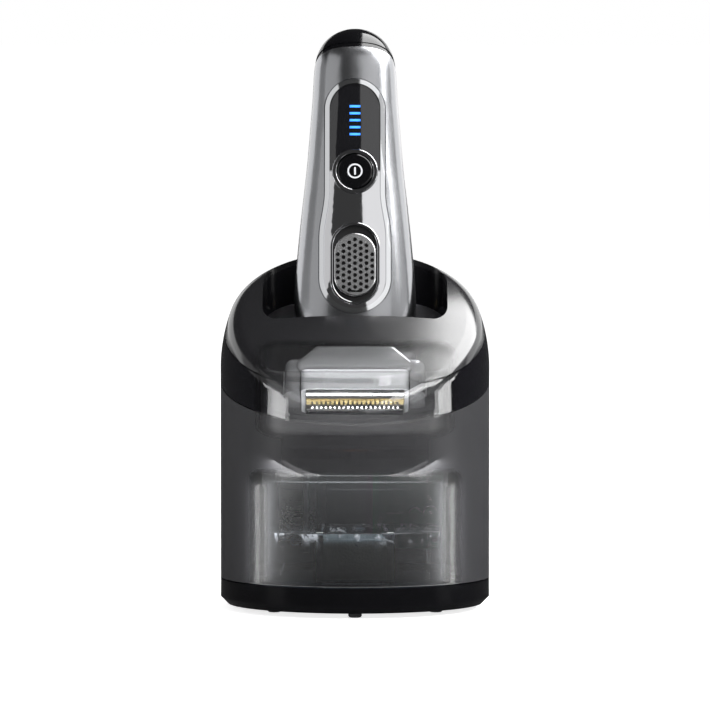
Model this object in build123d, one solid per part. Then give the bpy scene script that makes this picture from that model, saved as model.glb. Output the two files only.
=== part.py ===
"""Foil shaver standing head-down in its cleaning and charging station.

Station frame: origin on the ground at the centre of the footprint, +Z up, front towards -Y, millimetres.
Shaver frame: foil end at z = 0, tail end at z = SHAVER_LENGTH, front towards -Y; it leans back in the station.
Head frame: the origin is the swivel axis of the head, with the foils below it.
"""

from build123d import *
import math
import os

# ---- driving dimensions -------------------------------------------------------------------------
HALF_WIDTH, HALF_DEPTH = 60.0, 58.0          # station footprint: round in front, squarer behind
WIDEST_Y, SIDE_Y, CORNER = 2.0, 10.0, 40.0   # ends of the straight sides, and the rear corners' radius
WALL = 2.4                                   # station shell thickness
SEAM = 0.25                                  # half of a visible gap between two station shells
PLINTH_BOTTOM, PLINTH_CHAMFER, PLINTH_TOP = 2.2, 3.2, 13.4
HOUSING_BOTTOM = 14.0
BAND_FRONT, BAND_TILT = 85.3, 15.1           # plane between the housing and the lower band
COVER_FRONT, COVER_TILT = 98.3, 24.5         # plane between the lower band and the cover
CROWN_POINT, CROWN_TILT = (0, 4.0, 142.6), 29.0
CROWN_RADIUS, CROWN_SIDE_RADIUS, SHOULDER = 230.0, 620.0, 8.0
BARREL_Z, BARREL_RADIUS = 107.0, 75.0        # above this height the sides curve inwards

SHAVER_LENGTH = 172.8
SHAVER_FOOT = (0, -5.2, 89.6)                # foil end of the shaver's axis, in the station
SHAVER_LEAN = 13.0                           # degrees back from upright
SHELL = 1.8                                  # shaver shell thickness
SPLIT_Y = 3.0                                # front and back shells meet behind the middle
PIVOT_Z = 17.0                               # swivel axis above the foil end
HEAD_TILT = 12.0                             # the docked head leans forward on its swivel
GAP = 0.1                                    # clearance between neighbouring fitted pieces

WELL_HALF_WIDTH, WELL_FRONT, WELL_REAR = 41.2, -18.2, 20.7
TUB_HALF_WIDTH, TUB_FRONT, TUB_REAR, TUB_BOTTOM, TUB_TOP = 40.4, -42.0, 22.0, 13.5, 59.0
BOWL_HALF_WIDTH, BOWL_FRONT, BOWL_REAR, BOWL_BOTTOM = 43.0, -34.5, 26.5, 73.0

SHAVER = Pos(*SHAVER_FOOT) * Rot(X=-SHAVER_LEAN)
HEAD = SHAVER * Pos(0, 0, PIVOT_Z) * Rot(X=-HEAD_TILT)

parts = {}


# ---- shared shapes ------------------------------------------------------------------------------
def block(x, y, z):
    """A box from its lowest and highest x, y and z."""
    size = (x[1] - x[0], y[1] - y[0], z[1] - z[0])
    return Pos((x[0] + x[1]) / 2, (y[0] + y[1]) / 2, (z[0] + z[1]) / 2) * Box(*size)


def rod(x, y, z, radius):
    """An upright cylinder at x, y from z[0] to z[1]."""
    return Pos(x, y, (z[0] + z[1]) / 2) * Cylinder(radius, z[1] - z[0])


def rod_x(x, y, z, radius):
    """A cylinder along X from x[0] to x[1]."""
    return Pos((x[0] + x[1]) / 2, y, z) * Rot(Y=90) * Cylinder(radius, x[1] - x[0])


def rod_y(x, y, z, radius):
    """A cylinder along Y from y[0] to y[1]."""
    return Pos(x, (y[0] + y[1]) / 2, z) * Rot(X=90) * Cylinder(radius, y[1] - y[0])


def slab(x, y, z, corner):
    """A box with rounded upright corners."""
    outline = Pos((x[0] + x[1]) / 2, (y[0] + y[1]) / 2, z[0]) * RectangleRounded(
        x[1] - x[0], y[1] - y[0], corner
    )
    return extrude(outline, z[1] - z[0])


def oval_point(half_x, half_y, angle):
    """A point of the superellipse that is the shaver's cross-section."""
    c, s = math.cos(angle), math.sin(angle)
    power = 2 / BODY_POWER
    return half_x * math.copysign(abs(c) ** power, c), half_y * math.copysign(abs(s) ** power, s)


def station_outline(inset=0.0):
    """The station's plan outline: a half circle in front, rounded corners and a flat arc behind."""
    centre_x = HALF_WIDTH - CORNER
    spare = HALF_DEPTH - SIDE_Y - CORNER
    turn = 90 - 2 * math.degrees(math.atan(spare / centre_x))
    reach = centre_x / math.cos(math.radians(turn))
    rear_y = SIDE_Y - reach * math.sin(math.radians(turn))
    width, corner = HALF_WIDTH - inset, CORNER - inset
    return make_face(
        [
            CenterArc((0, WIDEST_Y), width, 180, 180),
            Line((width, WIDEST_Y), (width, SIDE_Y)),
            CenterArc((centre_x, SIDE_Y), corner, 0, turn),
            CenterArc((0, rear_y), reach + corner, turn, 180 - 2 * turn),
            CenterArc((-centre_x, SIDE_Y), corner, 180 - turn, turn),
            Line((-width, SIDE_Y), (-width, WIDEST_Y)),
        ]
    )


def station_prism(inset, z):
    """The station's outline, inset, from z[0] up to z[1]."""
    return Pos(0, 0, z[0]) * extrude(station_outline(inset), z[1] - z[0])


def barrel(inset):
    """An upright cylinder whose wall curves inwards above BARREL_Z."""
    width, top = HALF_WIDTH - inset, 175.0
    angle = math.asin((top - BARREL_Z) / BARREL_RADIUS)
    centre_x = width - BARREL_RADIUS
    end = (centre_x + BARREL_RADIUS * math.cos(angle), top)
    profile = make_face(
        [
            Line((0, 60), (width, 60)),
            Line((width, 60), (width, BARREL_Z)),
            CenterArc((centre_x, BARREL_Z), BARREL_RADIUS, 0, math.degrees(angle)),
            Line(end, (0, top)),
            Line((0, top), (0, 60)),
        ]
    )
    return Pos(0, WIDEST_Y, 0) * revolve(Plane.XZ * profile, Axis.Z)


def crown(inset):
    """Solid top of the station: barrel-shaped sides and a gently domed, tilted top."""
    sides = station_prism(inset, (70, 200)) & barrel(inset)
    top = Torus(CROWN_SIDE_RADIUS - CROWN_RADIUS, CROWN_RADIUS - inset)
    top = Pos(*CROWN_POINT) * Rot(X=CROWN_TILT) * Pos(0, 0, -CROWN_SIDE_RADIUS) * Rot(X=90) * top
    solid = sides & top
    top_face = solid.faces().sort_by(lambda face: (face.center() - Vector(*CROWN_POINT)).length)[0]
    return fillet(top_face.edges(), SHOULDER - inset)


def above(front_z, tilt, front_y=-HALF_DEPTH, side=400.0):
    """Everything above a plane that rises towards the rear, at front_z where y is front_y."""
    return Pos(0, front_y, front_z) * Rot(X=tilt) * Pos(0, 0, side / 2) * Box(side, side, side)


def well_outline(grow=0.0):
    """The opening's outline in the shaver's cross-section: tight corners in front, wide ones behind."""
    half, front, rear = WELL_HALF_WIDTH + grow, WELL_FRONT - grow, WELL_REAR + grow
    near, far = 7.0 + grow, 18.5 + grow
    outline = [
        Line((-half + near, front), (half - near, front)),
        CenterArc((half - near, front + near), near, -90, 90),
        Line((half, front + near), (half, rear - far)),
        CenterArc((half - far, rear - far), far, 0, 90),
        Line((half - far, rear), (-half + far, rear)),
        CenterArc((-half + far, rear - far), far, 90, 90),
        Line((-half, rear - far), (-half, front + near)),
        CenterArc((-half + near, front + near), near, 180, 90),
    ]
    return make_face(outline)


def well_prism(grow=0.0):
    """The opening's outline run along the shaver's axis, through the whole station."""
    return SHAVER * Pos(0, 0, -60) * extrude(well_outline(grow), 260)


# ---- base of the station ------------------------------------------------------------------------
FEET = [(0, -48), (-35.8, -22), (35.8, -22), (-33, 36), (33, 36)]
BOSSES = [(-46, 2), (46, 2), (-24, 42), (24, 42)]
FLOOR = PLINTH_BOTTOM + 1.6                   # top of the bottom cover
SOCKET_HALF, SOCKET_Z = 8.6, (2.4, 11.3)


def make_plinth():
    """Plinth with screw bosses below and a lip behind that shuts the seam under the housing."""
    outer = station_prism(0, (PLINTH_BOTTOM, PLINTH_TOP))
    outer = chamfer(outer.edges().group_by(Axis.Z)[0], PLINTH_CHAMFER)
    shell = outer - station_prism(5.4, (0, PLINTH_TOP - 2.0))
    for x, y in BOSSES:
        shell += rod(x, y, (FLOOR + GAP, PLINTH_TOP - 1.0), 3.2)
        shell -= rod(x, y, (FLOOR, PLINTH_TOP - 3.0), 1.3)
    lip = station_prism(WALL + 0.15, (PLINTH_TOP - 0.5, PLINTH_TOP + 2.6)) - station_prism(WALL + 1.0, (0, 30))
    shell += (lip & block((-99, 99), (10, 99), (0, 30))) - block((-13.2, 13.2), (40, 54.2), (0, 30))
    return shell - block((-SOCKET_HALF - GAP, SOCKET_HALF + GAP), (45, 70), (0, SOCKET_Z[1] + GAP))


def make_bottom_cover():
    plate = station_prism(5.4 + GAP, (PLINTH_BOTTOM, FLOOR))
    for x, y in BOSSES:
        plate -= rod(x, y, (0, 5), 2.8)
    return plate - block((-SOCKET_HALF - GAP, SOCKET_HALF + GAP), (45, 70), (0, 5))


def make_feet():
    feet = []
    for x, y in FEET:
        foot = rod(x, y, (0, PLINTH_BOTTOM), 3.0)
        feet.append(fillet(foot.edges().group_by(Axis.Z)[0], 1.0))
    return Compound(children=feet)


def make_base_screws():
    screws = [rod(x, y, (FLOOR - 1.4, FLOOR), 2.6) + rod(x, y, (FLOOR, 9.6), 1.25) for x, y in BOSSES]
    return Compound(children=screws)


def make_power_socket():
    """Two-pin mains inlet in the back of the plinth."""
    body = block((-SOCKET_HALF, SOCKET_HALF), (46.5, 56.6), SOCKET_Z)
    return body - slab((-7.2, 7.2), (49.0, 60.0), (3.7, 10.2), 0.5)


def make_socket_pins():
    return Compound(children=[rod_y(x, (49.0, 55.0), 6.95, 0.9) for x in (-5.2, 5.2)])


COLUMN_TOP = 106.0


def make_guide_column():
    """Fixed U-shaped rail that the housing slides up, with the lift spring in its channel."""
    column = block((-13, 13), (43.6, 53.9), (PLINTH_TOP, COLUMN_TOP))
    column -= block((-6, 6), (40, 51.9), (PLINTH_TOP + 2, COLUMN_TOP + 1))
    column = fillet(column.edges().filter_by(Axis.Z).group_by(Axis.Y)[-1], 1.5)
    return column


SPRING_BOTTOM, SPRING_TOP = PLINTH_TOP + 2.0, 31.0


def make_lift_spring():
    wire, radius = 0.45, 3.8
    height = SPRING_TOP - SPRING_BOTTOM - 2 * wire - 0.4
    path = Helix(pitch=height / 9, height=height, radius=radius)
    section = Plane(origin=path @ 0, z_dir=path % 0) * Circle(wire)
    return Pos(0, 47.2, SPRING_BOTTOM + wire + 0.2) * sweep(section, path, is_frenet=True)


# ---- cartridge ----------------------------------------------------------------------------------
TUB_WALL, TUB_CORNER = 1.5, 20.0
PILLAR_TOP = 33.0
PORT = (-22.0, 14.0)
DRAIN = (0.0, -12.0)
PORT_TUBE_END = 24.0


def tub_slab(inset, z):
    return slab(
        (-TUB_HALF_WIDTH + inset, TUB_HALF_WIDTH - inset),
        (TUB_FRONT + inset, TUB_REAR - inset),
        z,
        TUB_CORNER - inset,
    )


def make_tub():
    tub = tub_slab(0, (TUB_BOTTOM, TUB_TOP))
    tub = fillet(tub.edges().group_by(Axis.Z)[0], 2.0)
    tub -= tub_slab(TUB_WALL, (TUB_BOTTOM + TUB_WALL, TUB_TOP + 5))
    rim = tub_slab(-0.9, (TUB_TOP - 3, TUB_TOP)) - tub_slab(TUB_WALL, (TUB_TOP - 4, TUB_TOP + 1))
    return tub + rim


def make_filter():
    """Open filter box that stands in the tub, with slots on its sides and two tall front posts."""
    floor = TUB_BOTTOM + TUB_WALL + 0.05
    box = slab((-15, 15), (-30, -2), (floor, PILLAR_TOP), 3)
    box -= slab((-13.6, 13.6), (-28.6, -3.4), (floor + 1.4, PILLAR_TOP + 1), 1.6)
    for i in range(5):
        y = -25 + 4.5 * i
        box -= block((-16, 16), (y, y + 2), (floor + 4, PILLAR_TOP - 4))
    for x in (-15.6, 15.6):
        box += block((x - 1.5, x + 1.5), (-32.0, -28.0), (floor, PILLAR_TOP + 3))
    return box


FLUID_LEVEL = 36.0


def make_fluid():
    fluid = tub_slab(TUB_WALL + GAP, (TUB_BOTTOM + TUB_WALL + GAP, FLUID_LEVEL))
    fluid -= slab((-17.6, 17.6), (-32.6, -1.4), (TUB_BOTTOM, FLUID_LEVEL + 5), 0.4)
    return fluid - rod(*PORT, (PORT_TUBE_END - 0.5, FLUID_LEVEL + 5), 1.8)


def make_lid():
    """Stepped lid: a rim on the tub and two raised levels, hollow from below."""
    rim = tub_slab(-0.9, (TUB_TOP + GAP, TUB_TOP + 2.9))
    steps = slab((-34, 34), (-36, 18), (TUB_TOP + 2, TUB_TOP + 6.2), 12)
    steps += slab((-28, 28), (-32, 10), (TUB_TOP + 6, TUB_TOP + 9.8), 9)
    hollow = slab((-32.6, 32.6), (-34.6, 16.6), (TUB_TOP - 1, TUB_TOP + 4.8), 10.6)
    hollow += slab((-26.6, 26.6), (-30.6, 8.6), (TUB_TOP + 4, TUB_TOP + 8.4), 7.6)
    lid = rim + steps - hollow
    lid -= rod(*PORT, (50, 80), 3.4)
    return lid - rod(*DRAIN, (50, 80), 7.0)


# ---- lifting housing ----------------------------------------------------------------------------
HOUSING_SPLIT_Y = 24.0
BUTTON_AT = (0.0, 92.0)
BUTTON_HALF = (9.0, 5.5)


def housing_ring():
    """The upright wall of the housing, from the plinth up to the lower band."""
    ring = station_prism(0, (HOUSING_BOTTOM, 140)) - station_prism(WALL, (0, 150))
    return ring - above(BAND_FRONT - SEAM, BAND_TILT)


def make_front_housing():
    return housing_ring() - block((-99, 99), (HOUSING_SPLIT_Y, 99), (-5, 300))


def lift_button_outline(grow):
    outline = RectangleRounded(2 * (BUTTON_HALF[0] + grow), 2 * (BUTTON_HALF[1] + grow), BUTTON_HALF[1] + grow - 0.01)
    return Plane.XZ * Pos(*BUTTON_AT) * outline


def make_rear_housing():
    """Rear wall with the hole for the lift button and a row of vent slots above the pump."""
    rear = housing_ring() & block((-99, 99), (HOUSING_SPLIT_Y + GAP, 99), (-5, 300))
    rear -= Pos(0, 40, 0) * extrude(lift_button_outline(0.25), -40)
    for i in range(4):
        x = 21 + 3.4 * i
        for side in (-1, 1):
            rear -= block((side * x - 0.8, side * x + 0.8), (30, 70), (30, 46))
    return rear


def make_lower_band():
    """Band round the station, with a lip inside that reaches past the seam into the housing."""
    shell = (crown(0) - crown(WALL)) & above(BAND_FRONT + SEAM, BAND_TILT)
    lip = station_prism(WALL + 0.15, (70, 140)) - station_prism(WALL + 1.1, (60, 150))
    lip &= above(BAND_FRONT - 1.6, BAND_TILT) - above(BAND_FRONT + 1.8, BAND_TILT)
    root = station_prism(WALL - 0.4, (70, 140)) - station_prism(WALL + 1.1, (60, 150))
    root &= above(BAND_FRONT + SEAM, BAND_TILT) - above(BAND_FRONT + 1.8, BAND_TILT)
    return shell - above(COVER_FRONT - SEAM, COVER_TILT) + lip + root


def make_top_cover():
    cover = (crown(0) - crown(WALL)) & above(COVER_FRONT + SEAM, COVER_TILT)
    return cover - well_prism()


FLANGE_DROP = 1.9


def make_well_liner():
    """Sleeve under the opening, with a tilted flange that closes the washing chamber."""
    inside = crown(WALL + GAP)
    tube = (well_prism(1.5) - well_prism()) & inside & above(COVER_FRONT - FLANGE_DROP, COVER_TILT)
    flange = slab((-BOWL_HALF_WIDTH, BOWL_HALF_WIDTH), (BOWL_FRONT, BOWL_REAR), (60, 200), 10)
    flange &= above(COVER_FRONT - FLANGE_DROP, COVER_TILT)
    flange -= above(COVER_FRONT - FLANGE_DROP + 1.5, COVER_TILT)
    return tube + (flange - well_prism())


def make_wash_bowl():
    """Trough under the shaving head, with a spout that drains down into the cartridge."""
    top = above(COVER_FRONT - FLANGE_DROP - GAP, COVER_TILT)
    x, y = (-BOWL_HALF_WIDTH, BOWL_HALF_WIDTH), (BOWL_FRONT, BOWL_REAR)
    bowl = fillet(slab(x, y, (BOWL_BOTTOM, 150), 10).edges().group_by(Axis.Z)[0], 3.0)
    wall = 1.5
    inner = slab((x[0] + wall, x[1] - wall), (y[0] + wall, y[1] - wall), (BOWL_BOTTOM + wall, 160), 8.5)
    bowl = bowl - inner - top
    bowl += rod(*DRAIN, (BOWL_BOTTOM - 7.5, BOWL_BOTTOM + 0.5), 4.4)
    return bowl - rod(*DRAIN, (60, 90), 2.6) - rod(-6, 15, (60, 90), 1.45)


def make_heater_coil():
    """Flat drying coil under the bowl."""
    rings = [
        Pos(DRAIN[0], DRAIN[1], BOWL_BOTTOM - 0.85) * Torus(radius, 0.7) for radius in (7.0, 9.4, 11.8, 14.2)
    ]
    return Compound(children=rings)


PUMP = (-26.0, 33.0)


def make_pump_motor():
    return rod(*PUMP, (28, 53.9), 8.5) + rod(*PUMP, (25.5, 28), 3.0) - rod(*PUMP, (44, 60), 1.1)


def make_pump_housing():
    pump = rod(*PUMP, (54, 64.5), 9.5) - rod(*PUMP, (55.6, 62.9), 8.2)
    pump -= rod(*PUMP, (50, 57), 1.1)
    pump -= rod(*PUMP, (60, 66), 1.7)
    pump -= rod_x((PUMP[0] + 5, PUMP[0] + 12), PUMP[1], 59.3, 1.45)
    return pump


def make_pump_impeller():
    """Six-bladed impeller on the motor shaft."""
    wheel = rod(*PUMP, (56.2, 57.4), 7.6) + rod(*PUMP, (57.4, 61.5), 2.4)
    for i in range(6):
        wheel += Pos(*PUMP, 58.9) * Rot(Z=60 * i) * Pos(4.6, 0, 0) * Box(5.2, 0.9, 3.4)
    return wheel + rod(*PUMP, (46, 57), 1.0)


def pipe(points, radius, bend, bore):
    """A bent tube along straight runs with rounded corners."""
    path = FilletPolyline(*points, radius=bend)
    start, direction = path @ 0, path % 0
    ring = Circle(radius) - Circle(bore)
    return sweep(Plane(origin=start, z_dir=direction) * ring, path)


def make_pump_hoses():
    """Suction hose from the cartridge up to the pump, and feed hose from the pump to the bowl."""
    x, y = PORT
    high = BOWL_BOTTOM - 3.8
    suction = [(PUMP[0], PUMP[1], 64.6), (PUMP[0], PUMP[1], high), (x, y, high), (x, y, PORT_TUBE_END)]
    feed = [
        (PUMP[0] + 9.7, PUMP[1], 59.3),
        (-6, PUMP[1], 59.3),
        (-6, PUMP[1], high),
        (-6, 15, high),
        (-6, 15, BOWL_BOTTOM + 1.5),
    ]
    return Compound(children=[pipe(suction, 1.6, 2.4, 0.9), pipe(feed, 1.35, 2.4, 0.8)])


def make_lift_carriage():
    """Slider behind the pump, with the tongue that rests on the lift spring inside the column."""
    carriage = block((-13, 13), (38.6, 42.4), (20, 104))
    return carriage + block((-5.7, 5.7), (42.0, 51.5), (SPRING_TOP, SPRING_TOP + 8))


def make_control_board():
    """Station board with its transformer, capacitors and driver chip."""
    board = block((8, 40), (32.0, 33.6), (24, 66))
    board -= rod_y(12, (30, 36), 28, 1.3) + rod_y(36, (30, 36), 28, 1.3)
    board += block((14, 30), (25.0, 32.2), (46, 60))
    board += rod_y(34, (25.5, 32.2), 40, 3.2)
    board += rod_y(27, (26.5, 32.2), 40, 2.6)
    return board + block((14, 22), (30.3, 32.2), (32, 40))


def make_lift_button():
    """Finger button in the back of the station that frees the housing."""
    face = station_prism(0.3, (60, 130)) - station_prism(WALL, (50, 140))
    return face & Pos(0, 50, 0) * extrude(lift_button_outline(0), -20)


def make_contact_block():
    """Insulating block in the well's rear wall that carries the charging pins."""
    return SHAVER * block((-9, 9), (18.6, WELL_REAR - 0.1), (53.0, 60.0))


def make_contact_pins():
    return Compound(children=[SHAVER * rod_y(x, (17.6, 18.58), 56.5, 1.1) for x in (-5.0, 5.0)])


# ---- shaver body --------------------------------------------------------------------------------
# height above the foil end, full width, full thickness
BODY_SECTIONS = [
    (29.0, 50.5, 30.4),
    (38.0, 54.0, 33.2),
    (48.0, 54.3, 33.7),
    (59.0, 53.2, 33.1),
    (70.0, 51.4, 32.3),
    (82.0, 49.1, 31.3),
    (94.0, 46.5, 30.2),
    (106.0, 43.8, 29.3),
    (118.0, 41.6, 28.5),
    (130.0, 39.7, 27.8),
    (142.0, 37.9, 27.0),
    (152.0, 36.8, 26.0),
    (160.0, 34.2, 24.1),
    (166.0, 28.0, 19.8),
    (170.0, 19.0, 13.6),
    (SHAVER_LENGTH, 6.0, 4.4),
]
BODY_POWER = 2.5


def body_skin(grow=0.0, count=16):
    """The shaver's outer form, grown or shrunk sideways, in the shaver frame."""
    sections = []
    for z, width, thickness in BODY_SECTIONS:
        if min(width, thickness) / 2 + grow < 1.0:
            continue
        points = []
        for i in range(count):
            x, y = oval_point(width / 2 + grow, thickness / 2 + grow, 2 * math.pi * i / count)
            points.append((x, y, z))
        sections.append(Face(Wire([Spline(*points, periodic=True)])))
    return loft(sections)


def front_y(z):
    """Where the middle of the shaver's front surface lies at height z."""
    for low, high in zip(BODY_SECTIONS, BODY_SECTIONS[1:]):
        if low[0] <= z <= high[0]:
            share = (z - low[0]) / (high[0] - low[0])
            return -(low[2] + share * (high[2] - low[2])) / 2
    return 0.0


BODY = body_skin()
BODY_INNER = body_skin(-SHELL) & block((-99, 99), (-99, 99), (31.0, SHAVER_LENGTH - SHELL))
BODY_PROUD = body_skin(0.35)
BODY_INLAY = body_skin(-1.6)
CAP_PLANE_Z, CAP_PLANE_TILT = 154.4, -35.0

KEYHOLE_TOP_Z, KEYHOLE_FLARE, KEYHOLE_LOOP_Z = 133.7, (96.0, 74.0), 56.0
BEZEL_TOP, BEZEL_LOOP, BEZEL_WIDTH, GROOVE = 13.4, 15.9, 2.0, 0.4
BUTTON_Z, BUTTON_RADIUS, RING_RADIUS = 104.7, 8.0, 10.2
LOOP_Z, LOOP_HALF_WIDTH = (43.9, 81.2), 11.0
PAD_Z, PAD_HALF_WIDTH, PAD_TRAVEL = (47.5, 76.4), 9.4, 3.0
LOOP_MIDDLE = (LOOP_Z[0] + LOOP_Z[1]) / 2
BUTTON_SLOPE = -math.degrees(math.atan((front_y(113) - front_y(95)) / 18))
LOOP_SLOPE = -math.degrees(math.atan((front_y(81) - front_y(50)) / 31))


def cap_side():
    """Everything on the tail's side of the slanted cut between the shells and the end cap."""
    return above(CAP_PLANE_Z, CAP_PLANE_TILT, 0)


def through_front(outline):
    """An outline drawn in x and z, run through the front half of the shaver."""
    return Pos(0, -5, 0) * extrude(Plane.XZ * outline, 30)


def keyhole(top, loop):
    """Inlay outline: a narrow round-topped panel that flares into a wider loop below."""
    high, low = KEYHOLE_FLARE
    up, down = (0, 1), (0, -1)
    outline = [
        CenterArc((0, KEYHOLE_TOP_Z), top, 0, 180),
        Line((-top, KEYHOLE_TOP_Z), (-top, high)),
        Spline((-top, high), (-loop, low), tangents=(down, down)),
        Line((-loop, low), (-loop, KEYHOLE_LOOP_Z)),
        CenterArc((0, KEYHOLE_LOOP_Z), loop, 180, 180),
        Line((loop, KEYHOLE_LOOP_Z), (loop, low)),
        Spline((loop, low), (top, high), tangents=(up, up)),
        Line((top, high), (top, KEYHOLE_TOP_Z)),
    ]
    return make_face(outline)


def stadium(z, half_width, grow=0.0):
    low, high = z[0] - grow, z[1] + grow
    radius = half_width + grow
    return Pos(0, (low + high) / 2) * SlotOverall(high - low, 2 * radius, rotation=90)


def disc(z, radius):
    return Pos(0, z) * Circle(radius)


def make_front_shell():
    shell = BODY - BODY_INNER - block((-99, 99), (SPLIT_Y - 0.04, 99), (-5, 300)) - cap_side()
    shell -= through_front(keyhole(BEZEL_TOP + 0.05, BEZEL_LOOP + 0.05))
    groove = through_front(keyhole(BEZEL_TOP + GROOVE, BEZEL_LOOP + GROOVE))
    shell -= groove & (BODY_PROUD - body_skin(-0.8))
    return shell - slab((-14, 14), (-9, 9), (28, 32), 3)


def make_back_shell():
    shell = BODY - BODY_INNER - block((-99, 99), (-99, SPLIT_Y + 0.04), (-5, 300)) - cap_side()
    shell -= slab((-14, 14), (-9, 9), (28, 32), 3)
    shell -= block((-15.2, 15.2), (12.2, 30), (28, 51.7))
    for x in (-5.0, 5.0):
        shell -= rod_y(x, (8, 30), 56.5, 2.3)
    return shell


def make_end_cap():
    cap = (BODY - BODY_INNER) & Pos(0, 0, 0.35) * cap_side()
    cap -= (BODY - body_skin(-0.4)) & (cap_side() - Pos(0, 0, 2.9) * cap_side())
    return cap - block((-5.1, 5.1), (-3.1, 3.1), (160, 180))


def make_inlet():
    """Two-pin charging inlet in the tail."""
    body = block((-5, 5), (-3, 3), (162.0, 170.6)) - block((-4, 4), (-2, 2), (164.0, 175))
    return body + block((-0.5, 0.5), (-2, 2), (163.5, 168.0))


def make_bezel():
    ring = keyhole(BEZEL_TOP, BEZEL_LOOP) - keyhole(BEZEL_TOP - BEZEL_WIDTH, BEZEL_LOOP - BEZEL_WIDTH)
    return (BODY_PROUD - BODY_INLAY) & through_front(ring)


def on_front(z, slope):
    """A frame on the front surface at height z: x across, y up the shaver, z out of the surface."""
    return Pos(0, front_y(z), z) * Rot(X=slope) * Rot(X=90)


def make_panel():
    """Glossy inlay with room for the lights, the button's ring and the slider's loop."""
    outline = keyhole(BEZEL_TOP - BEZEL_WIDTH - 0.05, BEZEL_LOOP - BEZEL_WIDTH - 0.05)
    panel = (body_skin(-PANEL_SINK) - BODY_INLAY) & through_front(outline)
    panel -= through_front(disc(BUTTON_Z, RING_RADIUS + 0.05))
    panel -= through_front(stadium(LOOP_Z, LOOP_HALF_WIDTH, 0.05))
    for z in LIGHT_Z:
        panel -= through_front(Pos(0, z) * Rectangle(4.9, 1.05))
    return panel


PANEL_SINK = 0.3
LIGHT_Z = [121.8 + 3.2 * i for i in range(5)]


def make_charge_lights():
    """Five light bars, one above the other."""
    bars = []
    for z in LIGHT_Z:
        y = front_y(z) + PANEL_SINK
        bars.append(block((-2.4, 2.4), (y - 0.05, y + 1.0), (z - 0.48, z + 0.48)))
    return Compound(children=bars)


def make_button_ring():
    """Bright ring around the button, standing a little proud of the panel."""
    ring = rod(0, 0, (-1.7, 0.45), RING_RADIUS) - rod(0, 0, (-3, 3), BUTTON_RADIUS + 0.25)
    ring = fillet(ring.edges().filter_by(GeomType.CIRCLE).group_by(Axis.Z)[-1], 0.35)
    return on_front(BUTTON_Z, BUTTON_SLOPE) * ring


SYMBOL_DEPTH = 0.25


def power_symbol(depth, grow=0.0):
    """The usual ring with an upright bar."""
    ring = Circle(3.4 + grow) - Circle(2.7 - grow)
    bar = SlotOverall(3.6 + 2 * grow, 0.8 + 2 * grow, rotation=90)
    return Pos(0, 0, BUTTON_FACE - SYMBOL_DEPTH) * (extrude(ring, depth) + extrude(bar, depth))


BUTTON_FACE = 0.6


def make_power_button():
    """Round button with a slightly hollowed symbol, on a stem that reaches the board's switch."""
    button = rod(0, 0, (-2.0, BUTTON_FACE), BUTTON_RADIUS)
    button = fillet(button.edges().group_by(Axis.Z)[-1], 0.9)
    button += rod(0, 0, (-3.0, -1.5), 2.2)
    return on_front(BUTTON_Z, BUTTON_SLOPE) * (button - power_symbol(2.0, 0.02))


def make_power_symbol():
    return on_front(BUTTON_Z, BUTTON_SLOPE) * power_symbol(SYMBOL_DEPTH + 0.03)


def make_slider_loop():
    """Bright loop that frames the lock slider."""
    half = (LOOP_Z[1] - LOOP_Z[0]) / 2
    outline = stadium((-half, half), LOOP_HALF_WIDTH) - stadium((-half, half), LOOP_HALF_WIDTH, -1.2)
    loop = Pos(0, 0, -2.0) * extrude(outline, 2.35)
    loop = fillet(loop.edges().group_by(Axis.Z)[-1], 0.3)
    return on_front(LOOP_MIDDLE, LOOP_SLOPE) * loop


TRACK_DEPTH = 2.1


def make_slider_track():
    """Flat floor behind the loop that the lock slider runs on."""
    half = (LOOP_Z[1] - LOOP_Z[0]) / 2 - 0.1
    track = Pos(0, 0, -TRACK_DEPTH - 1.2) * extrude(stadium((-half, half), LOOP_HALF_WIDTH - 0.1), 1.2)
    track -= block((-2.2, 2.2), (-3, 9), (-TRACK_DEPTH - 2, 0))
    return on_front(LOOP_MIDDLE, LOOP_SLOPE) * track


def pad_holes():
    """Centres of the staggered dimples, kept inside the pad's rounded outline."""
    pitch_x, pitch_y = 2.55, 2.7
    straight = (PAD_Z[1] - PAD_Z[0]) / 2 - PAD_HALF_WIDTH
    centres = []
    for column in range(-3, 4):
        for row in range(-5, 6):
            x, y = column * pitch_x, (row + (column % 2) / 2) * pitch_y + 0.6
            if math.hypot(x, max(0.0, abs(y) - straight)) < PAD_HALF_WIDTH - 1.6:
                centres.append((x, y))
    return centres


def make_lock_slider():
    """Perforated metal thumb pad with a finger groove at its lower end."""
    half = (PAD_Z[1] - PAD_Z[0]) / 2
    pad = extrude(stadium((-half, half), PAD_HALF_WIDTH), TRACK_DEPTH + 0.5)
    pad = fillet(pad.edges().group_by(Axis.Z)[-1], 0.7)
    holes = Sketch() + [Pos(x, y) * Circle(0.9) for x, y in pad_holes()]
    holes += Pos(0, -half + 2.3) * SlotOverall(6.5, 0.9)
    pad -= Pos(0, 0, TRACK_DEPTH + 0.5 - 1.3) * extrude(holes, 3)
    offset = (PAD_Z[0] + PAD_Z[1]) / 2 - LOOP_MIDDLE
    return on_front(LOOP_MIDDLE, LOOP_SLOPE) * Pos(0, offset, -TRACK_DEPTH + 0.05) * pad


def make_battery():
    return fillet(rod(0, 2.4, (92, 142), 8.2).edges(), 0.8)


def make_main_board():
    """Shaver board with its switch, driver and charging chips."""
    board = block((-11, 11), (-8.6, -7.4), (62, 150))
    board += block((-2.6, 2.6), (-10.2, -8.5), (BUTTON_Z - 2.6, BUTTON_Z + 2.6))
    board += block((-4, 4), (-9.8, -8.5), (120, 136))
    return board + block((-5, 5), (-9.8, -8.5), (88, 95))


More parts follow.
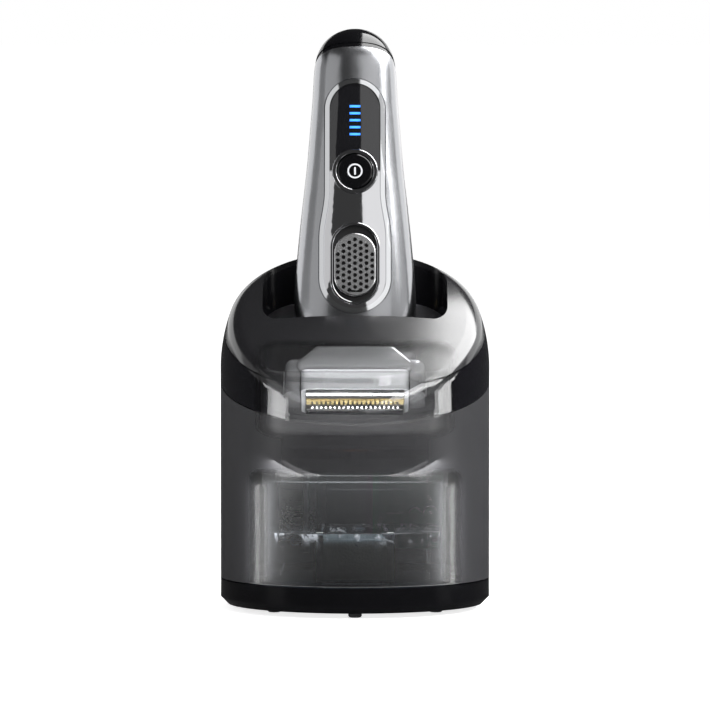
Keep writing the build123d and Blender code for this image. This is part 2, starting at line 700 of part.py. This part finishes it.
def make_drive_motor():
    """Linear motor that swings the drive link from side to side."""
    frame = block((-16, 16), (-6.8, 10.5), (36.2, 60)) - block((-13, 13), (-4.2, 7.5), (33, 57))
    frame += block((-4, 4), (-4.3, 7.6), (46, 57.5))
    return frame + block((-7.5, 7.5), (-3.9, 7.2), (47.5, 55.5))


def make_neck_seal():
    """Rubber collar where the swivel yoke leaves the body."""
    collar = slab((-13.8, 13.8), (-8.8, 8.8), (29.05, 31.0), 2.9) - block((-12.1, 12.1), (-4.1, 4.1), (28, 32))
    return collar


def make_swivel_yoke():
    """Fixed block that carries the head on its pivot pin."""
    yoke = block((-12, 12), (-4, 4), (PIVOT_Z - 3.2, 35.9))
    yoke -= rod_x((-20, 20), 0, PIVOT_Z, 1.5)
    return yoke - block((-5.5, 5.5), (-5, 5), (PIVOT_Z - 5, PIVOT_Z + 3.5))


def make_pivot_pin():
    return rod_x((-16.4, 16.4), 0, PIVOT_Z, 1.48)


def make_trimmer_slide():
    """Sliding panel in the back that carries the long-hair trimmer, with two grip grooves."""
    skin = BODY & block((-15, 15), (12.4, 30), (34.0, 51.5))
    for z in (42.0, 45.5):
        skin -= block((-9, 9), (15.8, 30), (z, z + 1.2))
    return skin


def make_trimmer_blade():
    """Toothed edge at the foil end of the trimmer slide."""
    blade = block((-14, 14), (12.5, 13.6), (30.5, 33.95))
    for i in range(17):
        x = -13.2 + 1.6 * i
        blade -= block((x, x + 0.8), (12, 14), (30, 32.5))
    return blade


def make_charge_contacts():
    return Compound(children=[(rod_y(x, (13.0, 30), 56.5, 2.2) & body_skin(-0.1)) for x in (-5.0, 5.0)])


# ---- shaving head -------------------------------------------------------------------------------
HOOD_HALF, HOOD_Z, HEAD_HALF_WIDTH = (26.0, 14.0), (-5.0, 7.0), 31.2
CASSETTE_HALF, CASSETTE_Z = (23.85, 14.6), (-14.6, -5.2)
FOIL_Y, FOIL_RADIUS, FOIL_CENTRE_Z, FOIL_HALF = 9.6, 4.1, -12.9, 21.6


def hood_profile(inset, low):
    """Front view of the hood, with its upper corners cut off at a slant."""
    side, top = HOOD_HALF[0] - inset, HOOD_Z[1] - inset * 0.66
    corner, shoulder = side - 9.0 + inset * 0.2, -1.0 - inset * 0.4
    points = [(-side, low), (-side, shoulder), (-corner, top), (corner, top), (side, shoulder), (side, low)]
    return make_face(Polyline(*points, close=True))


def make_head_frame():
    """Hood with an arm at each end that holds the foil cassette."""
    hood = extrude(Plane.XZ * hood_profile(0, HOOD_Z[0]), HOOD_HALF[1], both=True)
    hood = fillet(hood.edges().filter_by(Axis.Y), 2.5)
    upper = hood.edges().filter_by(lambda edge: edge.center().Z > HOOD_Z[0] + 0.1)
    hood = fillet(upper.filter_by(lambda edge: abs(abs(edge.center().Y) - HOOD_HALF[1]) < 0.01), 2.4)
    for side in (-1, 1):
        arm = block(sorted((side * 24.4, side * HEAD_HALF_WIDTH)), (-10.5, 10.5), (-14.0, 2.5))
        outer = arm.edges().filter_by(Axis.Z).group_by(Axis.X)[-1 if side > 0 else 0]
        arm = fillet(outer, 4.0)
        top = arm.edges().group_by(Axis.Z)[-1].filter_by(lambda edge: abs(edge.center().X) > 25.0)
        hood += fillet(top, 3.8) + block(sorted((side * 21.6, side * 25.0)), (-10.5, 10.5), (-1.0, 1.4))
    hood -= extrude(Plane.XZ * hood_profile(3.0, -7.0), 12.0, both=True)
    hood -= slab((-13.2, 13.2), (-7.6, 7.6), (4.0, 8.0), 1.0)
    for side in (-1, 1):
        hood += block(sorted((side * 12.6, side * 16.5)), (-4.0, 4.0), (-3.4, 5.2))
        hood -= block(sorted((side * 29.7, side * 40)), (-4.7, 4.7), (-10.9, -1.9))
    return hood - rod_x((-16.6, 16.6), 0, 0, 1.54)


def make_release_button(side):
    button = block(sorted((side * 30.75, side * 31.9)), (-4.4, 4.4), (-10.6, -2.2))
    outer = button.edges().filter_by(Axis.X, reverse=True).group_by(Axis.X)[-1 if side > 0 else 0]
    return fillet(outer, 0.4)


def make_cassette_frame():
    """Frame of the foil cassette: two end blocks, long side walls and the centre rails."""
    x, y = (-CASSETTE_HALF[0], CASSETTE_HALF[0]), (-CASSETTE_HALF[1], CASSETTE_HALF[1])
    frame = fillet(block(x, y, CASSETTE_Z).edges().filter_by(Axis.Z), 3.0)
    return frame - block((-21.9, 21.9), (-13.85, 13.85), (-20, 0))


def make_foil(side):
    """Arched foil: half a tube along X with two straight legs."""
    y = side * FOIL_Y
    outer = rod_x((-FOIL_HALF, FOIL_HALF), y, FOIL_CENTRE_Z, FOIL_RADIUS)
    outer += block((-FOIL_HALF, FOIL_HALF), (y - FOIL_RADIUS, y + FOIL_RADIUS), (FOIL_CENTRE_Z, -7.8))
    thin = FOIL_RADIUS - 0.4
    inner = rod_x((-30, 30), y, FOIL_CENTRE_Z, thin)
    inner += block((-30, 30), (y - thin, y + thin), (FOIL_CENTRE_Z, -6))
    ends = block((-FOIL_HALF, -FOIL_HALF + 0.6), (y - thin - 0.1, y + thin + 0.1), (FOIL_CENTRE_Z - 1.5, -7.8))
    return outer - inner + ends + mirror(ends, Plane.YZ)


def make_blade_block(side):
    """Inner cutter: a row of half-round lamellae on a spine."""
    y, radius = side * FOIL_Y, FOIL_RADIUS - 0.55
    comb = block((-19.2, 19.2), (y - 1.6, y + 1.6), (-12.0, -8.2))
    for i in range(17):
        x = -19.2 + 2.36 * i
        disc_blade = rod_x((x, x + 0.6), y, FOIL_CENTRE_Z, radius)
        comb += disc_blade - block((-40, 40), (y - 9, y + 9), (-12.0, 0))
    return comb


TRIMMER_Y, TRIMMER_HALF = 2.7, 21.6


def make_trimmer_bar(side):
    """Comb-edged channel between the foils."""
    y = side * TRIMMER_Y
    bar = block((-TRIMMER_HALF, TRIMMER_HALF), (y - 2.3, y + 2.3), (-16.4, -9.0))
    bar -= block((-TRIMMER_HALF + 1.2, TRIMMER_HALF - 1.2), (y - 1.7, y + 1.7), (-15.7, -8))
    for i in range(20):
        x = -19.4 + 2.0 * i
        bar -= block((x, x + 0.8), (y - 3, y + 3), (-17, -15.0))
    return bar


def make_drive_link():
    """Plate in the hood that carries the side-to-side drive to both cutters."""
    link = block((-9.0, 9.0), (-11.0, 11.0), (-5.9, -4.5))
    return link - rod(0, 0, (-7, 0), 3.0)


def place(name, shape, where=None):
    parts[name] = shape if where is None else where * shape


# ---- all pieces ---------------------------------------------------------------------------------
place("base_plinth", make_plinth())
place("bottom_cover", make_bottom_cover())
place("rubber_feet", make_feet())
place("base_screws", make_base_screws())
place("power_socket", make_power_socket())
place("socket_pins", make_socket_pins())
place("guide_column", make_guide_column())
place("lift_spring", make_lift_spring())
place("cartridge_tub", make_tub())
place("cartridge_lid", make_lid())
place("cartridge_filter", make_filter())
place("cleaning_fluid", make_fluid())

place("front_housing", make_front_housing())
place("rear_housing", make_rear_housing())
place("lower_band", make_lower_band())
place("top_cover", make_top_cover())
place("well_liner", make_well_liner())
place("wash_bowl", make_wash_bowl())
place("heater_coil", make_heater_coil())
place("pump_motor", make_pump_motor())
place("pump_housing", make_pump_housing())
place("pump_impeller", make_pump_impeller())
place("pump_hoses", make_pump_hoses())
place("lift_carriage", make_lift_carriage())
place("station_board", make_control_board())
place("lift_button", make_lift_button())
place("contact_block", make_contact_block())
place("contact_pins", make_contact_pins())

place("front_shell", make_front_shell(), SHAVER)
place("back_shell", make_back_shell(), SHAVER)
place("end_cap", make_end_cap(), SHAVER)
place("tail_inlet", make_inlet(), SHAVER)
place("panel_bezel", make_bezel(), SHAVER)
place("front_panel", make_panel(), SHAVER)
place("charge_lights", make_charge_lights(), SHAVER)
place("power_button", make_power_button(), SHAVER)
place("power_symbol", make_power_symbol(), SHAVER)
place("inlay_rings", Compound(children=[make_button_ring(), make_slider_loop()]), SHAVER)
place("slider_track", make_slider_track(), SHAVER)
place("lock_slider", make_lock_slider(), SHAVER)
place("battery", make_battery(), SHAVER)
place("main_board", make_main_board(), SHAVER)
place("drive_motor", make_drive_motor(), SHAVER)
place("neck_seal", make_neck_seal(), SHAVER)
place("swivel_yoke", make_swivel_yoke(), SHAVER)
place("pivot_pin", make_pivot_pin(), SHAVER)
place("trimmer_slide", make_trimmer_slide(), SHAVER)
place("trimmer_blade", make_trimmer_blade(), SHAVER)
place("charge_contacts", make_charge_contacts(), SHAVER)

place("head_frame", make_head_frame(), HEAD)
place("release_button_left", make_release_button(-1), HEAD)
place("release_button_right", make_release_button(1), HEAD)
place("cassette_frame", make_cassette_frame(), HEAD)
place("foil_front", make_foil(-1), HEAD)
place("foil_rear", make_foil(1), HEAD)
place("blade_front", make_blade_block(-1), HEAD)
place("blade_rear", make_blade_block(1), HEAD)
place("trimmer_bar_front", make_trimmer_bar(-1), HEAD)
place("trimmer_bar_rear", make_trimmer_bar(1), HEAD)
place("drive_link", make_drive_link(), HEAD)

os.makedirs("parts", exist_ok=True)
for name, shape in parts.items():
    export_step(shape, f"parts/{name}.step")
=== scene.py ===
"""Foil shaver standing head-down in its cleaning station: looks, lights and camera."""
import math

import bpy
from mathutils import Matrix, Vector


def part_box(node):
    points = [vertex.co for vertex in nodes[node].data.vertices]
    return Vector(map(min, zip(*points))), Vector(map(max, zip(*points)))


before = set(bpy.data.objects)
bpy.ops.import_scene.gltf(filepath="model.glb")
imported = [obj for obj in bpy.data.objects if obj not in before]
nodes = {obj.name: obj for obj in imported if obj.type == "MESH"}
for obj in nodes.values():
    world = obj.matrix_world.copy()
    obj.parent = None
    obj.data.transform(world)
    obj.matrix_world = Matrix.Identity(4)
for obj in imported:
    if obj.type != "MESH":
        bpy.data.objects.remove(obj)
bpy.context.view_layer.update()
scene = bpy.context.scene

PAD_NORMAL = (0.0, -0.96575, 0.25948)   # outward from the shaver's front
PAD_HOLE_SHADE_DEPTH = (0.0009, 0.0006)       # painted shade in the holes deeper than the first, none above the second
MIRROR_TOP = (0.1945, 0.1955)           # height below which the inlay is a mirror
FLUID_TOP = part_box("cleaning_fluid")[1].z
STREAK_DEPTH = 0.007                           # depth of the painted highlight streaks at the fluid's top

# ---- shader helpers -----------------------------------------------------------------------------


class Paint:
    """A node material around one Principled shader, textured in metres of object space."""

    SOCKETS = {"color": "Base Color", "rough": "Roughness", "metal": "Metallic", "normal": "Normal",
               "specular": "Specular IOR Level", "glow": "Emission Color",
               "glow_strength": "Emission Strength"}

    def __init__(self, name):
        self.material = bpy.data.materials.new(name)
        self.material.use_nodes = True
        self.tree = self.material.node_tree
        self.shader = self.tree.nodes["Principled BSDF"]
        self.output = self.tree.nodes["Material Output"]
        self.where = self.node("ShaderNodeTexCoord").outputs["Object"]

    def node(self, kind, **settings):
        made = self.tree.nodes.new(kind)
        for key, value in settings.items():
            setattr(made, key, value)
        return made

    def link(self, source, target):
        self.tree.links.new(source, target)

    def feed(self, socket, value):
        """Links an output into a socket, or sets the socket to a number or colour."""
        if isinstance(value, bpy.types.NodeSocket):
            self.link(value, socket)
        else:
            socket.default_value = value

    def set(self, **values):
        for key, value in values.items():
            self.feed(self.shader.inputs[self.SOCKETS[key]], value)

    def math(self, operation, a, b=0.0):
        made = self.node("ShaderNodeMath", operation=operation)
        self.feed(made.inputs[0], a)
        self.feed(made.inputs[1], b)
        return made.outputs[0]

    def ramp(self, value, low, high, to_low=0.0, to_high=1.0, smooth=False):
        made = self.node("ShaderNodeMapRange")
        if smooth:
            made.interpolation_type = "SMOOTHSTEP"
        for socket, number in zip(made.inputs, (value, low, high, to_low, to_high)):
            self.feed(socket, number)
        return made.outputs[0]

    def noise(self, scale, detail=3.0, roughness=0.5, stretch=None, warp=0.0):
        made = self.node("ShaderNodeTexNoise")
        made.inputs["Scale"].default_value = scale
        made.inputs["Detail"].default_value = detail
        made.inputs["Roughness"].default_value = roughness
        made.inputs["Distortion"].default_value = warp
        self.link(self.stretched(stretch), made.inputs["Vector"])
        return made.outputs["Fac"]

    def stretched(self, scale):
        """Object coordinates, scaled along each axis if a scale is given."""
        if not scale:
            return self.where
        made = self.node("ShaderNodeMapping")
        self.link(self.where, made.inputs["Vector"])
        made.inputs["Scale"].default_value = scale
        return made.outputs["Vector"]

    def axes(self):
        made = self.node("ShaderNodeSeparateXYZ")
        self.link(self.where, made.inputs[0])
        return made.outputs[0], made.outputs[1], made.outputs[2]

    def blend(self, factor, a, b):
        """Colour a to colour b."""
        made = self.node("ShaderNodeMix", data_type="RGBA")
        self.feed(made.inputs["Factor"], factor)
        for socket, value in ((made.inputs[6], a), (made.inputs[7], b)):
            self.feed(socket, value if isinstance(value, bpy.types.NodeSocket) else (*value, 1.0))
        return made.outputs[2]

    def bump(self, height, strength, distance):
        made = self.node("ShaderNodeBump")
        made.inputs["Strength"].default_value = strength
        made.inputs["Distance"].default_value = distance
        self.feed(made.inputs["Height"], height)
        return made.outputs["Normal"]

    def mix_shaders(self, factor, a, b):
        made = self.node("ShaderNodeMixShader")
        self.feed(made.inputs[0], factor)
        self.link(a, made.inputs[1])
        self.link(b, made.inputs[2])
        return made.outputs[0]

    def finish(self, surface=None):
        if surface is not None:
            self.link(surface, self.output.inputs["Surface"])
        return self.material


def surface(name, color, rough, metal=0.0, vary=0.12, rough_vary=0.04, patch=60.0, grain=900.0,
            stretch=None, specular=0.5, bumps=0.0, bump_depth=0.00002):
    """A moulded, painted or metal surface with soft colour drift, uneven gloss and a fine grain."""
    p = Paint(name)
    drift = p.noise(patch, 4.0, 0.55, stretch)
    dark = tuple(c * (1 - vary) for c in color)
    light = tuple(min(1.0, c * (1 + vary)) for c in color)
    p.set(color=p.blend(drift, dark, light), metal=metal, specular=specular)
    fine = p.noise(grain, 3.0, 0.6, stretch)
    smoothest = max(0.0, rough - rough_vary)
    p.set(rough=p.ramp(p.math("ADD", drift, fine), 0.6, 1.4, smoothest, rough + rough_vary))
    if bumps:
        p.set(normal=p.bump(fine, bumps, bump_depth))
    return p


# ---- special materials --------------------------------------------------------------------------


def make_lights():
    """Blue light, brightest at the middle of each bar."""
    p = Paint("charge_light_glow")
    x, _, _ = p.axes()
    core = p.ramp(p.math("ABSOLUTE", x), 0.0006, 0.0034, 1.0, 0.45, smooth=True)
    p.set(color=(0.02, 0.10, 0.5, 1), rough=0.4, glow=p.blend(core, (0.0, 0.06, 0.8), (0.05, 0.36, 1.0)),
          glow_strength=1.5)
    return p.finish()


def make_inlay():
    """Black gloss inlay that turns to dark mirror chrome below the power button."""
    p = surface("inlay_gloss", (0.006, 0.006, 0.007), 0.05, vary=0.2, rough_vary=0.015, specular=0.9)
    _, _, z = p.axes()
    mirror = p.ramp(z, *MIRROR_TOP, 1.0, 0.0)
    p.set(metal=mirror, color=p.blend(mirror, (0.005, 0.005, 0.006), (0.72, 0.72, 0.74)))
    return p.finish()


def make_pad():
    """Bright pad with painted shade inside its punched holes."""
    p = surface("pad_steel", (0.66, 0.66, 0.67), 0.26, metal=1.0, grain=1500.0, bumps=0.2, bump_depth=0.00001)
    across = p.node("ShaderNodeVectorMath", operation="DOT_PRODUCT")
    p.link(p.where, across.inputs[0])
    across.inputs[1].default_value = PAD_NORMAL
    face = max(Vector(PAD_NORMAL).dot(v.co) for v in nodes["lock_slider"].data.vertices)
    # Painted shade: below the pad's face the holes turn near-black and lose their metal.
    painted_hole_shade = p.ramp(across.outputs["Value"], *(face - depth for depth in PAD_HOLE_SHADE_DEPTH), 1.0, 0.0)
    pad_tone = p.shader.inputs["Base Color"].links[0].from_socket
    p.set(color=p.blend(painted_hole_shade, pad_tone, (0.006, 0.006, 0.006)), metal=p.math("SUBTRACT", 1.0, painted_hole_shade))
    return p.finish()


def mirror_share(p, base, normal=None, power=5.0):
    """How much a smooth surface mirrors: base when seen straight on, rising to 1 at its edges."""
    rim = p.node("ShaderNodeLayerWeight")
    rim.inputs["Blend"].default_value = 0.5
    if normal is not None:
        p.link(normal, rim.inputs["Normal"])
    edge = p.math("POWER", rim.outputs["Facing"], power)
    return p.ramp(edge, 0.0, 1.0, base, 1.0)


def make_clear(name, tint, rough, base, power, painted_edge_white, painted_streaks=0.0):
    """Clear plastic or liquid, mirroring towards its edges with painted white there as an edge reflection;
    painted highlight streaks lie at the fluid's top.
    """
    p = Paint(name)
    clear = p.node("ShaderNodeBsdfTransparent")
    clear.inputs[0].default_value = (*tint, 1)
    normal = p.bump(p.noise(70.0, 3.0, 0.5), 0.2, 0.0006)
    # Painted reflection: a white colour shows at the grazing edges, standing in for edge reflections beside
    # the real gloss.
    color = (painted_edge_white, painted_edge_white * 1.02, painted_edge_white * 1.05)
    amount = mirror_share(p, base, normal, power)
    # Painted highlight: white streaks in a band at the fluid's top.
    if painted_streaks:
        _, _, z = p.axes()
        swirl = p.ramp(p.noise(95.0, 6.0, 0.62, (1.0, 1.6, 0.6), 1.4), 0.53, 0.62, 0.0, painted_streaks, smooth=True)
        painted_streak_mask = p.math("MULTIPLY", swirl, p.ramp(z, FLUID_TOP - STREAK_DEPTH, FLUID_TOP, 0.0, 1.0))
        amount = p.math("MAXIMUM", amount, painted_streak_mask)
        p.set(color=p.blend(painted_streak_mask, color, (0.9, 0.93, 0.96)))
    else:
        p.set(color=(*color, 1))
    p.set(rough=rough, normal=normal, specular=1.0)
    return p.finish(p.mix_shaders(amount, clear.outputs[0], p.shader.outputs[0]))


def see_through(p, solid, amount, rough):
    """Mixes a solid surface with clear glossy plastic where amount is high."""
    clear = p.node("ShaderNodeBsdfTransparent")
    shine = p.node("ShaderNodeBsdfGlossy")
    shine.inputs["Roughness"].default_value = rough
    glass = p.mix_shaders(mirror_share(p, 0.045), clear.outputs[0], shine.outputs[0])
    return p.mix_shaders(amount, solid, glass)


def soft_box(p, centre, half, soft):
    """1 inside a rounded region in x and z, falling to 0 over soft edges inside it; sizes in metres."""
    x, _, z = p.axes()
    squares = []
    for axis, middle, reach, edge in zip((x, z), centre, half, soft):
        past = p.math("SUBTRACT", p.math("ABSOLUTE", p.math("SUBTRACT", axis, middle)), reach - edge)
        squares.append(p.math("POWER", p.math("MAXIMUM", p.math("DIVIDE", past, edge), 0.0), 2.0))
    return p.ramp(p.math("ADD", squares[0], squares[1]), 0.0, 1.0, 1.0, 0.0, smooth=True)


def window(p, strength):
    """Where the station's front is see-through: round the head, round the cartridge and faintly between."""
    head = soft_box(p, (0.0, 0.100), (0.046, 0.022), (0.014, 0.006))
    tank = soft_box(p, (0.0, 0.036), (0.048, 0.030), (0.006, 0.006))
    between = p.math("MULTIPLY", soft_box(p, (0.0, 0.075), (0.036, 0.030), (0.012, 0.012)), 0.30)
    most = p.math("MAXIMUM", p.math("MAXIMUM", head, tank), between)
    return p.math("MULTIPLY", most, strength)


def make_station_shell(name, color, rough, strength, grain, bumps, rear=None, specular=0.5):
    """A station plastic; strength makes its front see-through, only ahead of y = rear if that is given."""
    p = surface(name, color, rough, vary=0.08, rough_vary=rough * 0.12, grain=grain, bumps=bumps,
                specular=specular)
    if not strength:
        return p.finish()
    amount = window(p, strength)
    if rear is not None:
        _, y, _ = p.axes()
        amount = p.math("MULTIPLY", amount, p.ramp(y, rear - 0.002, rear + 0.002, 1.0, 0.0, smooth=True))
    return p.finish(see_through(p, p.shader.outputs[0], amount, rough))


# ---- materials ----------------------------------------------------------------------------------
silver = surface("silver_satin_paint", (0.39, 0.395, 0.41), 0.22, metal=1.0, vary=0.04, grain=5000.0,
                 bumps=0.25, bump_depth=0.000006).finish()
head_silver = surface("head_silver", (0.42, 0.425, 0.44), 0.22, metal=0.6, vary=0.03, grain=5000.0,
                      bumps=0.15, bump_depth=0.000006).finish()
chrome = surface("polished_chrome", (0.82, 0.83, 0.85), 0.08, metal=1.0, vary=0.03, rough_vary=0.02).finish()
dark_chrome = surface("dark_chrome", (0.55, 0.55, 0.57), 0.07, metal=1.0, vary=0.03, rough_vary=0.02).finish()
steel = surface("brushed_steel", (0.62, 0.62, 0.63), 0.28, metal=1.0, grain=1500.0, stretch=(0.05, 1, 1),
                bumps=0.3, bump_depth=0.00001).finish()
gold = surface("titanium_gold", (0.95, 0.74, 0.34), 0.28, metal=0.5, grain=1500.0, bumps=0.15,
               bump_depth=0.00001).finish()
copper = surface("heater_copper", (0.30, 0.17, 0.11), 0.45, metal=1.0, vary=0.25).finish()
gloss_black = surface("gloss_black_plastic", (0.002, 0.002, 0.0025), 0.10, vary=0.2, rough_vary=0.01).finish()
matte_black = surface("matte_black_plastic", (0.010, 0.010, 0.011), 0.42, grain=2500.0, bumps=0.4).finish()
smoke_plastic = surface("dark_smoke_plastic", (0.075, 0.076, 0.08), 0.36, grain=2200.0, bumps=0.3).finish()
light_plastic = surface("light_grey_plastic", (0.52, 0.53, 0.55), 0.35, vary=0.04, grain=2200.0,
                        bumps=0.2).finish()
rubber = surface("soft_rubber", (0.022, 0.022, 0.024), 0.75, grain=1800.0, bumps=0.5).finish()
board_green = surface("circuit_board", (0.02, 0.13, 0.06), 0.4, vary=0.25, patch=300.0).finish()
cell_wrap = surface("cell_wrap", (0.04, 0.13, 0.38), 0.3, vary=0.06).finish()
foam = surface("filter_foam", (0.70, 0.72, 0.66), 0.9, bumps=1.0, bump_depth=0.0004).finish()

HOUSING = dict(color=(0.022, 0.022, 0.024), rough=0.42, grain=2600.0, bumps=0.25, specular=0.3)
front_grey = make_station_shell("housing_grey_front", strength=0.95, **HOUSING)
rear_grey = make_station_shell("housing_grey_rear", strength=0.0, **HOUSING)
cover_charcoal = make_station_shell("cover_charcoal", (0.008, 0.008, 0.009), 0.17, 0.93, 2600.0, 0.08,
                                    specular=1.0)
band_black = make_station_shell("band_black", (0.003, 0.003, 0.004), 0.06, 0.94, 900.0, 0.0, specular=1.0)
well_black = make_station_shell("well_black", (0.004, 0.004, 0.005), 0.16, 0.97, 2500.0, 0.2, rear=0.0)
bowl_smoke = make_station_shell("bowl_smoke", (0.06, 0.06, 0.066), 0.5, 0.86, 2200.0, 0.1, rear=0.004)
# The sixth number is the painted white edge reflection.
clear_tub = make_clear("clear_tub", (0.95, 0.96, 0.975), 0.06, 0.02, 3.6, 0.50)
clear_lid = make_clear("clear_lid", (0.93, 0.95, 0.965), 0.10, 0.03, 3.6, 0.30)
fluid = make_clear("cleaning_fluid", (0.80, 0.87, 0.95), 0.04, 0.015, 4.5, 0.15, painted_streaks=0.9)

worn_by = {
    silver: ["front_shell"],
    head_silver: ["head_frame"],
    chrome: ["panel_bezel", "socket_pins"],
    dark_chrome: ["inlay_rings"],
    steel: ["base_screws", "lift_spring", "pump_motor", "drive_motor", "pivot_pin", "trimmer_blade",
            "charge_contacts", "trimmer_bar_rear", "foil_front", "foil_rear", "blade_front", "blade_rear"],
    make_pad(): ["lock_slider"],
    gold: ["trimmer_bar_front", "contact_pins"],
    copper: ["heater_coil"],
    make_inlay(): ["front_panel"],
    gloss_black: ["base_plinth", "end_cap", "power_button", "lift_button"],
    matte_black: ["bottom_cover", "power_socket", "pump_housing", "contact_block", "tail_inlet",
                  "slider_track", "back_shell"],
    smoke_plastic: ["guide_column", "lift_carriage", "swivel_yoke", "trimmer_slide"],
    light_plastic: ["pump_impeller", "power_symbol", "release_button_left", "release_button_right",
                    "cassette_frame", "drive_link"],
    rubber: ["rubber_feet", "pump_hoses", "neck_seal"],
    board_green: ["station_board", "main_board"],
    cell_wrap: ["battery"],
    foam: ["cartridge_filter"],
    front_grey: ["front_housing"],
    rear_grey: ["rear_housing"],
    cover_charcoal: ["top_cover"],
    band_black: ["lower_band"],
    well_black: ["well_liner"],
    bowl_smoke: ["wash_bowl"],
    clear_tub: ["cartridge_tub"],
    clear_lid: ["cartridge_lid"],
    fluid: ["cleaning_fluid"],
    make_lights(): ["charge_lights"],
}
for material, names in worn_by.items():
    for name in names:
        slots = nodes[name].material_slots
        for slot in slots:
            slot.material = material
        if not slots:
            nodes[name].data.materials.append(material)

# ---- stage, lights and camera -------------------------------------------------------------------
AIM = Vector((0.0, 0.0, 0.11305))       # the middle of the picture
DISTANCE, ELEVATION = 3.0, 3.0          # camera, in metres and degrees
SOFTBOX_DISTANCE = 1.5


def make_floor():
    mesh = bpy.data.meshes.new("floor")
    mesh.from_pydata([(-40, -40, 0), (40, -40, 0), (40, 40, 0), (-40, 40, 0)], [], [(0, 1, 2, 3)])
    floor = bpy.data.objects.new("floor", mesh)
    scene.collection.objects.link(floor)
    floor.visible_glossy = False
    p = Paint("pale_floor")
    p.set(color=(0.90, 0.90, 0.90, 1), rough=1.0, specular=0.0, glow=(1, 1, 1, 1), glow_strength=0.95)
    shine = p.node("ShaderNodeBsdfGlossy")
    shine.inputs["Roughness"].default_value = 0.10
    mesh.materials.append(p.finish(p.mix_shaders(0.18, p.shader.outputs[0], shine.outputs[0])))


def make_world(seen, mirrored, fill):
    """White to the camera, with its own level in reflections and for soft fill light."""
    world = bpy.data.worlds.new("studio")
    world.use_nodes = True
    tree = world.node_tree
    path = tree.nodes.new("ShaderNodeLightPath")
    level = fill
    for ray, value in (("Is Glossy Ray", mirrored), ("Is Camera Ray", seen)):
        mix = tree.nodes.new("ShaderNodeMix")
        tree.links.new(path.outputs[ray], mix.inputs["Factor"])
        if isinstance(level, bpy.types.NodeSocket):
            tree.links.new(level, mix.inputs[2])
        else:
            mix.inputs[2].default_value = level
        mix.inputs[3].default_value = value
        level = mix.outputs[0]
    tree.links.new(level, tree.nodes["Background"].inputs["Strength"])
    tree.nodes["Background"].inputs["Color"].default_value = (1, 1, 1, 1)
    scene.world = world


def direction(azimuth, elevation):
    """Unit vector; azimuth 0 is in front of the object and 90 to its right, in degrees."""
    a, e = math.radians(azimuth), math.radians(elevation)
    return Vector((math.sin(a) * math.cos(e), -math.cos(a) * math.cos(e), math.sin(e)))


def area_lamp(name, place, facing, size, watts):
    """A rectangular lamp the camera does not see; facing is the way its light goes."""
    light = bpy.data.lights.new(name, "AREA")
    light.shape = "RECTANGLE"
    light.size, light.size_y = size
    light.energy = watts
    lamp = bpy.data.objects.new(name, light)
    scene.collection.objects.link(lamp)
    lamp.location = place
    lamp.rotation_euler = facing.to_track_quat("-Z", "Y").to_euler()
    lamp.visible_camera = False
    return lamp


def softbox(name, azimuth, elevation, size, radiance):
    """A studio light that faces the object; size in degrees as the object sees it."""
    wide, high = (2 * SOFTBOX_DISTANCE * math.tan(math.radians(angle / 2)) for angle in size)
    toward = direction(azimuth, elevation)
    area_lamp(name, AIM + SOFTBOX_DISTANCE * toward, -toward, (wide, high), radiance * math.pi * wide * high)


def inner_lamp(name, place, target, size, watts, mirrored):
    """A small lamp inside the station that lights what shows through its front."""
    lamp = area_lamp(name, place, Vector(target) - Vector(place), size, watts)
    lamp.visible_glossy = mirrored


make_floor()
make_world(1.0, 0.05, 0.30)
softbox("box_front_right", 24, 29, (32, 40), 0.95)
softbox("box_front_left", -46, 27, (38, 40), 0.65)
softbox("box_side_right", 68, 18, (48, 30), 0.55)
softbox("box_side_left", -84, 18, (36, 30), 0.35)
softbox("box_back_right", 136, 19, (70, 32), 1.5)
softbox("box_back_left", -134, 17, (62, 28), 1.3)
softbox("box_roof", 90, 57, (58, 54), 9.0)
softbox("strip_left", -70, 0, (18, 12), 6.0)
softbox("strip_right", 82, 0, (14, 12), 9.0)
inner_lamp("lamp_hood", (0, -0.0290, 0.114), (0, -0.010, 0.108), (0.07, 0.006), 0.014, False)
inner_lamp("lamp_foils", (0, -0.0290, 0.079), (0, -0.010, 0.092), (0.06, 0.005), 0.034, True)
inner_lamp("lamp_tank", (0, -0.050, 0.066), (0, -0.02, 0.03), (0.09, 0.01), 0.030, True)
for side in (-1, 1):
    inner_lamp("lamp_tank_edge", (side * 0.047, -0.040, 0.036), (side * 0.030, -0.015, 0.036), (0.004, 0.044),
               0.006, True)

camera = bpy.data.cameras.new("camera")
camera.lens = 341.0
camera.sensor_width = 36.0
camera.clip_start, camera.clip_end = 0.1, 100.0
eye = bpy.data.objects.new("camera", camera)
scene.collection.objects.link(eye)
eye.location = AIM + DISTANCE * direction(0, ELEVATION)
eye.rotation_euler = (math.radians(90 - ELEVATION), 0, 0)
scene.camera = eye
scene.view_settings.view_transform = "Standard"
